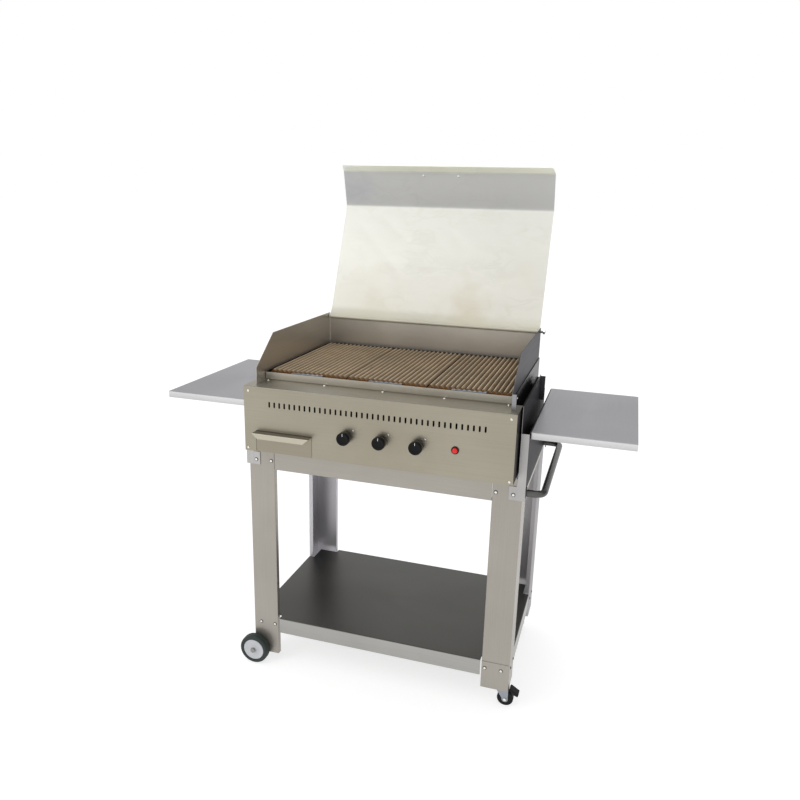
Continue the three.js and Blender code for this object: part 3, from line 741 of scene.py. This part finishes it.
def add_legs():
    """Folded legs. The two over the casters also have a foot and a plate on their outside."""
    for end_name, end in ENDS:
        face = LEG_FACE[end_name]
        for side_name, side in SIDES:
            foot = FOOT[side_name]
            corners = [at(side * x, face + end * inwards, foot) for x, inwards in LEG_OUTLINE]
            bm = bmesh.new()
            height = Vector((0, 0, (LEG_TOP - foot) * MM))
            fold(bm, corners, LEG_SHEET * MM * side * end, LEG_BEND * MM, height)
            if side > 0:
                near, far = sorted((face - end * FOOT_PLATE_SHEET, face - end * 0.02))
                block(bm, at(LEG_INNER + FOOT_PLATE_INSET, near, foot + FOOT_PLATE_INSET),
                      at(LEG_OUTER - FOOT_PLATE_INSET, far, FOOT_PLATE_TOP), 0.5)
                near, far = sorted((face + end * FOOT_INSET, face + end * (LEG_DEPTH - LEG_SHEET)))
                block(bm, at(LEG_INNER + FOOT_INSET, near, foot),
                      at(LEG_OUTER - FOOT_INSET, far, foot + FOOT_SHEET), 0.3)
            node = f"leg_{end_name}_{side_name}"
            material = LEG_PAINTED_LIGHT.get((end_name, side_name), "cart_steel")
            obj = piece(f"{node}_sheet", bm, "cart", material, (node,))
            keep_flats_flat(obj.data)


# ---------------------------------------------------------------- lid
LID_STEPS = ((5, 3), (23, 28), (166, 385), (133, 505), (100, 523))
LID_BENDS = (6, 10, 5)
LID_THICKNESS = 1.5
LID_COLUMNS = 72
ROW_PITCH = 9
LIP_TAPER = 8
KNUCKLE = (4.4, 6.6)
CREASE_SPAN = 560
CREASES = (
    # start and end as shares of the main panel's width and height, depth and half-width in mm
    ((0.06, 0.86), (0.34, 0.3), 1.3, 14),
    ((0.16, 0.95), (0.42, 0.52), 1.0, 12),
    ((0.1, 0.4), (0.3, 0.62), 0.8, 16),
    ((0.52, 0.82), (0.62, 0.6), 1.2, 16),
    ((0.58, 0.7), (0.72, 0.86), 0.9, 14),
    ((0.7, 0.3), (0.95, 0.42), 0.8, 18),
)


def lid_profile():
    """The lid's section as (y, z) millimetres from the hinge, evenly stepped, with round bends."""
    corners = [Vector((y, z, 0)) for y, z in LID_STEPS]
    points = [corners[0]]
    for here, after, before, bend in zip(corners[1:-1], corners[2:], corners, LID_BENDS):
        start = here + (before - here).normalized() * bend
        end = here + (after - here).normalized() * bend
        run = start - points[-1]
        rows = max(1, round(run.length / ROW_PITCH))
        origin = points[-1]
        points += [origin + run * (i / rows) for i in range(1, rows + 1)]
        points += bend_points(start, here, end, 5)[1:]
    run = corners[-1] - points[-1]
    origin = points[-1]
    points += [origin + run * (i / 4) for i in range(1, 5)]
    return points


def crease_depth(across, up):
    """How far the main panel is pushed in at a place given as shares of its width and height."""
    depth = 0.0
    for start, end, amount, half in CREASES:
        a = Vector((*start, 0))
        b = Vector((*end, 0))
        here = Vector((across, up, 0))
        along = (here - a).dot(b - a) / (b - a).length_squared
        nearest = a + (b - a) * min(1, max(0, along))
        gap = (here - nearest).length * CREASE_SPAN
        fade = math.sin(math.pi * min(1, max(0, along))) ** 0.5 if 0 < along < 1 else 0
        depth += amount * fade * math.exp(-(gap / half) ** 2)
    waves = noise.noise(Vector((across * 4, up * 3, 2.7))) * 0.9
    ripples = noise.noise(Vector((across * 13, up * 9, 7.1))) * 0.3
    return depth + waves + ripples


def lid_sheet(half):
    """The bent sheet, its main panel a little creased and its rolled edge shorter than the rest."""
    profile = lid_profile()
    main_low, main_high = LID_STEPS[1][1], LID_STEPS[2][1]
    lip_start = Vector((*LID_STEPS[3], 0))
    bm = bmesh.new()
    front, back = [], []
    for grid, base in ((front, -LID_THICKNESS), (back, 0)):
        for row, point in enumerate(profile):
            before = profile[max(row - 1, 0)]
            after = profile[min(row + 1, len(profile) - 1)]
            slope = (after - before).normalized()
            outwards = Vector((slope.y, -slope.x, 0))
            lip = max(0, 1 - (profile[-1] - point).length / (profile[-1] - lip_start).length)
            up = (point.y - main_low) / (main_high - main_low)
            rows = []
            for column in range(LID_COLUMNS + 1):
                across = column / LID_COLUMNS
                x = (across * 2 - 1) * (half - LIP_TAPER * lip ** 1.5)
                inside = min(1, 12 * across) * min(1, 12 * (1 - across))
                calm = inside * min(1, max(0, up * 8)) * min(1, max(0, (1 - up) * 8))
                yz = point + outwards * (base + crease_depth(across, up) * calm)
                rows.append(bm.verts.new(HINGE + Vector((x, yz.x, yz.y)) * MM))
            grid.append(rows)
    last_row = len(profile) - 1
    for grid in (front, back):
        for r in range(last_row):
            for c in range(LID_COLUMNS):
                bm.faces.new((grid[r][c], grid[r][c + 1], grid[r + 1][c + 1], grid[r + 1][c]))
    for r in range(last_row):
        for c in (0, LID_COLUMNS):
            bm.faces.new((front[r][c], front[r + 1][c], back[r + 1][c], back[r][c]))
    for c in range(LID_COLUMNS):
        for r in (0, last_row):
            bm.faces.new((front[r][c], front[r][c + 1], back[r][c + 1], back[r][c]))
    return bm


def add_lid():
    low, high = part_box("lid")
    half = (high.x - low.x) / 2 / MM
    piece("lid_sheet", lid_sheet(half), "lid", "lid_steel", ("lid",))

    bm = bmesh.new()
    inner, outer = KNUCKLE
    ring = [(inner, 0), (outer, 0), (outer, 2 * half), (inner, 2 * half), (inner, 0)]
    spin(bm, ring, (-half * MM, HINGE.y, HINGE.z), (1, 0, 0), 32)
    piece("lid_knuckle", bm, "lid", "lid_steel")


GRIP_RADIUS = 5
GRIP_BEND = 13


def add_lid_handle():
    low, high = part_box("lid_handle")
    radius = GRIP_RADIUS * MM
    ends = (low.x + radius, high.x - radius)
    near, far = low.y + 1.5 * MM, high.y - radius
    rise = (high.z - low.z) - 2 * radius
    base = low.z + radius
    corners = [
        Vector((ends[0], near, base)), Vector((ends[0], far, base + rise)),
        Vector((ends[1], far, base + rise)), Vector((ends[1], near, base)),
    ]
    bm = bmesh.new()
    tube(bm, rounded_path(corners, GRIP_BEND * MM), radius, 24)
    piece("lid_grip", bm, "lid", "black_plastic", ("lid_handle",))

    bm = bmesh.new()
    for x in ends:
        screw(bm, Vector((x, near - 4.5 * MM, base - 0.8 * MM)), (0, -1, -0.27), 4, 0.4)
    piece("lid_screws", bm, "lid", "bright_screw")


# ---------------------------------------------------------------- grates
RIB_COUNT = 16
RIB_PROFILE = (
    (-6.8, -13), (-6.8, -7), (-4.6, -4.8), (-2, -1.4), (-0.9, -0.2), (0.9, -0.2), (2, -1.4),
    (4.6, -4.8), (6.8, -7), (6.8, -13),
)
RIB_STEPS = 26
CAST_ROUGHNESS = 0.22
SEAM = 8.6
CROSSBAR_DROP = 6.8
CROSSBAR_DEPTH = 12
CROSSBAR_INSET = 0.8
TAB_HALF_WIDTH = 50
TAB_REACH = 11


def rib(bm, x, y0, y1, top):
    """One bar of a grate, from front to back, with the uneven crest of a casting."""
    rings = []
    for step in range(RIB_STEPS + 1):
        y = y0 + (y1 - y0) * step / RIB_STEPS
        ring = []
        for dx, dz in RIB_PROFILE:
            place = Vector((x + dx * MM, y, top + dz * MM))
            uneven = noise.noise(place * 140) * CAST_ROUGHNESS * MM if dz > -12 else 0
            ring.append(bm.verts.new(place + Vector((0, 0, min(0, uneven)))))
        rings.append(ring)
    for first, second in zip(rings, rings[1:]):
        bridge(bm, first, second)
    bm.faces.new(rings[0])
    bm.faces.new(rings[-1])


def add_grates():
    wall_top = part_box("front_panel")[1].z
    for name in NAMES:
        node = f"grate_{name}"
        low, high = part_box(node)
        width = high.x - low.x
        edge = SEAM * MM
        pitch = (width - 2 * edge) / (RIB_COUNT - 1)
        bm = bmesh.new()
        for i in range(RIB_COUNT):
            rib(bm, low.x + edge + i * pitch, low.y, high.y, high.z)
        bar_top = high.z - CROSSBAR_DROP * MM
        inset = CROSSBAR_INSET * MM
        depth = CROSSBAR_DEPTH * MM
        stations = [low.y + inset, (low.y * 2 + high.y) / 3, (low.y + high.y * 2) / 3,
                    high.y - depth - inset]
        for y in stations:
            block(bm, (low.x + 2 * inset, y, low.z + inset), (high.x - 2 * inset, y + depth, bar_top), 0.8)
        piece(f"{node}_casting", bm, node, "cast_iron", (node,))

        bm = bmesh.new()
        left, right = ((low.x + high.x) / 2 + side * TAB_HALF_WIDTH * MM for side in (-1, 1))
        front = low.y - TAB_REACH * MM
        top = wall_top - 1 * MM
        block(bm, (left, front, top + 0.5 * MM), (right, low.y + 3 * MM, top + 1.9 * MM), 0.4)
        block(bm, (left, front, top - 5.5 * MM), (right, front + 1.4 * MM, top + 1.6 * MM), 0.4)
        piece(f"lift_tab_{name}", bm, node, "tab_steel")


# ---------------------------------------------------------------- knobs and igniter
FLUTES = 24
FLUTE_DEPTH = 0.55
SPINDLE_HOLE = 4.4
INDEX_PIN = (21, 20)


def add_knobs():
    for name in NAMES:
        node = f"knob_{name}"
        low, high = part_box(node)
        centre = Vector(((low.x + high.x) / 2, high.y, (low.z + high.z) / 2))
        length = (high.y - low.y) / MM
        radius = (high.x - low.x) / 2 / MM
        bm = bmesh.new()
        grip = radius - 0.5
        profile = [
            (SPINDLE_HOLE, 0), (radius - 2.6, 0), (radius - 2, 0.8), (radius - 2, 6), (grip - 0.8, 7.5),
            (grip, 9), (grip, length - 3.6), (grip - 0.8, length - 1.8), (grip - 2.4, length - 0.8),
            (grip - 4.2, length - 0.6), (grip - 5, length - 1.1), (4, length - 1.1),
            (0, length - 1.1),
        ]
        spin(bm, profile, centre, (0, -1, 0), FLUTES * 4)
        for vert in bm.verts:
            along = (centre.y - vert.co.y) / MM
            away = Vector((vert.co.x - centre.x, 0, vert.co.z - centre.z))
            if 8.5 < along < length - 3 and away.length > 12 * MM:
                angle = math.atan2(away.z, away.x)
                flute = max(0, math.cos(FLUTES * angle)) ** 2 * FLUTE_DEPTH * MM
                vert.co -= away.normalized() * flute
        hole = [(0, 0.3), (SPINDLE_HOLE, 0.3), (SPINDLE_HOLE, 0)]
        spin(bm, hole, centre, (0, -1, 0), FLUTES * 4)
        bmesh.ops.remove_doubles(bm, verts=bm.verts[:], dist=1e-6)
        piece(f"{node}_cap", bm, node, "knob_plastic", (node,))

        bm = bmesh.new()
        face = centre.y - length * MM
        block(bm, (centre.x - 0.6 * MM, face + 0.3 * MM, centre.z + 9 * MM),
              (centre.x + 0.6 * MM, face + 1.6 * MM, centre.z + (grip - 2.5) * MM), 0.1)
        piece(f"{node}_pointer", bm, node, "pointer_white")

    bm = bmesh.new()
    for name in NAMES:
        low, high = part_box(f"knob_{name}")
        x = (low.x + high.x) / 2 + INDEX_PIN[0] * MM
        z = (low.z + high.z) / 2 + INDEX_PIN[1] * MM
        screw(bm, Vector((x, PANEL_FACE, z)), (0, -1, 0), 2)
    piece("knob_index_pins", bm, "cart", "bright_screw")


def add_igniter():
    low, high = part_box("ignition_button")
    centre = Vector(((low.x + high.x) / 2, low.y, (low.z + high.z) / 2))
    radius = (high.x - low.x) / 2 / MM
    depth = (high.y - low.y) / MM
    dome = [(0, 0)]
    for i in range(1, 9):
        angle = math.radians(90 * i / 8)
        dome.append((radius * math.sin(angle), 3.4 * (1 - math.cos(angle))))
    dome += [(radius, depth), (0, depth)]
    bm = bmesh.new()
    spin(bm, dome, centre, (0, 1, 0), 48)
    piece("ignition_cap", bm, "button", "red_plastic", ("ignition_button",))


# ---------------------------------------------------------------- push handle
HANDLE_BEND = 28
HANDLE_COLLAR = ((10.2, 0), (16, 0), (17, 0.8), (16.4, 2.2), (12, 3), (10.2, 3), (10.2, 0))


def add_push_handle():
    low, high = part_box("push_handle")
    radius = (high.z - low.z) / 2
    z = (low.z + high.z) / 2
    front, back, reach = low.y + radius, high.y - radius, high.x - radius
    corners = [Vector((low.x, front, z)), Vector((reach, front, z)), Vector((reach, back, z)),
               Vector((low.x, back, z))]
    bm = bmesh.new()
    tube(bm, rounded_path(corners, HANDLE_BEND * MM, 12), radius, 32)
    piece("push_handle_tube", bm, "cart", "dark_bar", ("push_handle",))

    bm = bmesh.new()
    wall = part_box("bracket_right")[1].x
    for y in (front, back):
        spin(bm, HANDLE_COLLAR, (wall, y, z), (1, 0, 0), 40)
    piece("push_handle_collars", bm, "cart", "dark_bar")


# ---------------------------------------------------------------- wheels
TYRE_SHOULDER = 7
TYRE_DEPTH = 13.5


def add_fixed_wheels():
    for name, end in ENDS:
        low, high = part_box(f"tyre_{name}")
        outer_face = low.y if end > 0 else high.y
        centre = Vector(((low.x + high.x) / 2, outer_face, (low.z + high.z) / 2))
        inwards = (0, end, 0)
        width = (high.y - low.y) / MM
        radius = (high.z - low.z) / 2 / MM
        rim = radius - TYRE_DEPTH
        tyre = [(rim, 2.4), (rim + 1.5, 0.6), (rim + 3, 0.1)]
        for i in range(9):
            angle = math.radians(90 * i / 8)
            shoulder = radius - TYRE_SHOULDER + TYRE_SHOULDER * math.sin(angle)
            tyre.append((shoulder, TYRE_SHOULDER * (1 - math.cos(angle))))
        tyre += [(radius, width / 2 - 0.8), (radius - 0.6, width / 2)]
        tyre += [(r, width - d) for r, d in reversed(tyre[:-1])]
        tyre.append(tyre[0])
        bm = bmesh.new()
        spin(bm, tyre, centre, inwards, 96)
        piece(f"tyre_{name}_tread", bm, f"wheel_{name}", "tyre", (f"tyre_{name}",))

        hub = [
            (5.4, 1.4), (9, 1.4), (10.5, 1.8), (11.5, 3.2), (15, 3.9), (23, 3.6), (29, 2.5), (32, 1.5),
            (33.5, 1.3), (rim - 0.1, 2.2), (rim - 0.1, width - 2.2), (33, width - 3), (16, width - 5),
            (13, width - 1), (5.4, width - 1), (5.4, 1.4),
        ]
        bm = bmesh.new()
        spin(bm, hub, centre, inwards, 96)
        piece(f"hub_{name}_disc", bm, f"wheel_{name}", "hub_plastic", (f"hub_{name}",))


CASTER_TRAIL = 15
CROWN_BEHIND, CROWN_AHEAD = 19, 24
CROWN_DROP = 9
FORK_LOBE = 9.5
FORK_CHEEK = 2.5
PIN_REACH = 1.9


def add_fork(name, facing, axle, low, high):
    """The caster's fork: two cheeks with round lobes at the axle, a crown, a bearing and a pin."""
    swivel = axle.x - facing * CASTER_TRAIL * MM
    crown = (FOOT["right"] - CROWN_DROP) * MM
    crown_ends = (swivel - facing * CROWN_BEHIND * MM, swivel + facing * CROWN_AHEAD * MM)
    outline = [(x, crown) for x in crown_ends]
    for i in range(13):
        angle = math.radians(15 - 210 * i / 12)
        reach = facing * FORK_LOBE * math.cos(angle)
        outline.append((axle.x + reach * MM, axle.z + FORK_LOBE * math.sin(angle) * MM))
    bm = bmesh.new()
    near, far = low.y + PIN_REACH * MM, high.y - PIN_REACH * MM
    for face, inwards in ((near, 1), (far, -1)):
        rows = [
            [bm.verts.new((x, face + step * MM, z)) for x, z in outline] for step in (0, inwards * FORK_CHEEK)
        ]
        for row in rows:
            bm.faces.new(row)
        bridge(bm, *rows)
    left, right = sorted(crown_ends)
    block(bm, (left, near, crown - 2 * MM), (right, far, crown + 1 * MM), 0.8)
    bearing = [(0, 0), (15, 0), (16, 2), (16, 5), (13, 7.6), (0, 7.6)]
    spin(bm, bearing, (swivel, (low.y + high.y) / 2, crown), (0, 0, 1), 40)
    length = (high.y - low.y) / MM - 1
    spin(bm, [(0, 0), (4, 0), (4, length), (0, length)], (axle.x, low.y + 0.5 * MM, axle.z), (0, 1, 0), 24)
    piece(f"caster_{name}_fork", bm, f"caster_{name}", "zinc_plated",
          (f"caster_fork_{name}",))


def add_casters():
    for name, facing in ENDS:
        low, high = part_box(f"caster_wheel_{name}")
        centre = Vector(((low.x + high.x) / 2, low.y, (low.z + high.z) / 2))
        width = (high.y - low.y) / MM
        radius = (high.z - low.z) / 2 / MM
        tread = [(4.4, 0.6), (radius - 8, 0.9), (radius - 6, 2), (radius - 4.5, 0.4)]
        for i in range(7):
            angle = math.radians(90 * i / 6)
            tread.append((radius - 3 + 3 * math.sin(angle), 3 - 3 * math.cos(angle)))
        tread += [(r, width - d) for r, d in reversed(tread)]
        tread.append(tread[0])
        bm = bmesh.new()
        spin(bm, tread, centre, (0, 1, 0), 72)
        piece(f"caster_{name}_tread", bm, f"caster_roller_{name}", "caster_tread",
              (f"caster_wheel_{name}",))

        fork_low, fork_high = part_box(f"caster_fork_{name}")
        add_fork(name, facing, centre, fork_low, fork_high)
        bm = bmesh.new()
        for y, out in ((fork_low.y, -1), (fork_high.y, 1)):
            screw(bm, Vector((centre.x, y - out * 0.6 * MM, centre.z)), (0, out, 0), 4.6)
        piece(f"caster_{name}_axle_nuts", bm, f"caster_{name}", "bright_screw")


# ---------------------------------------------------------------- fasteners
LEG_BOLT_OFFSETS = (24.5, 73.5)
TOP_BOLTS, FOOT_BOLTS = 705, 140
BRACKET_PLATE_EDGE = 383
PANEL_SCREWS = ((-385, 938), (385, 938), (-390, 763), (390, 763))
LEDGE_SCREWS = (-363, -181, 0, 182, 363)
LEDGE_SCREW_DEPTH = 84
LEDGE_DROP = 23
GUARD_SCREW = (380.6, 110, 966)
HINGE_NUT = ((0, -7), (8, -7), (8.4, -6), (8.4, -1), (7.4, 0), (0, 0))


def add_fasteners():
    """Screws of the panel, bolts of the legs with their washers, and the nuts on the hinge rod. The washers are
    dark as painted shade round the bolts, and the bolts on the legs' sides are dark too.
    """
    bm = bmesh.new()
    for x, z in PANEL_SCREWS:
        screw(bm, at(x, 0, z), (0, -1, 0), 3.4)
    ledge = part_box("front_panel")[1].z / MM - LEDGE_DROP
    for x in LEDGE_SCREWS:
        screw(bm, at(x, LEDGE_SCREW_DEPTH, ledge), (0, 0, 1), 4)
    screw(bm, at(*GUARD_SCREW), (1, 0, 0), 3.2)
    piece("panel_screws", bm, "cart", "bright_screw")

    bm = bmesh.new()
    # dark washers: painted shade round the bolts
    rings = bmesh.new()
    for end_name, end in ENDS:
        for side_name, side in SIDES:
            plate = FOOT_PLATE_SHEET if side > 0 else 0
            leg_face = LEG_FACE[end_name]
            bracket_face = (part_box(f"bracket_{side_name}")[0].y - PANEL_FACE) / MM
            for offset in LEG_BOLT_OFFSETS:
                x = LEG_OUTER - offset
                on_bracket = end > 0 and x > BRACKET_PLATE_EDGE
                top_face = bracket_face if on_bracket else leg_face
                top_place = at(side * x, top_face, TOP_BOLTS)
                foot_place = at(side * x, leg_face - end * plate, FOOT_BOLTS)
                for place in (top_place, foot_place):
                    washer(rings, place, (0, -end, 0), 6)
                    screw(bm, place, (0, -end, 0), 4, 0.8)
                side_place = at(side * LEG_OUTER, leg_face + end * offset, FOOT_BOLTS)
                washer(rings, side_place, (side, 0, 0), 4.6)
                screw(rings, side_place, (side, 0, 0), 3, 0.8)
    piece("cart_bolts", bm, "cart", "bright_screw")
    piece("cart_washers_painted_shade", rings, "cart", "dark_bar")

    bm = bmesh.new()
    pin_low, pin_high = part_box("hinge_rod")
    middle_y, middle_z = (pin_low.y + pin_high.y) / 2, (pin_low.z + pin_high.z) / 2
    for x, out in ((pin_low.x, -1), (pin_high.x, 1)):
        spin(bm, HINGE_NUT, (x, middle_y, middle_z), (out, 0, 0), 6)
    piece("hinge_nuts", bm, "cart", "bright_screw")


make_materials()
add_camera()
add_studio()
dress_nodes()
add_legs()
add_lid()
add_lid_handle()
add_grates()
add_knobs()
add_igniter()
add_push_handle()
add_fixed_wheels()
add_casters()
add_fasteners()
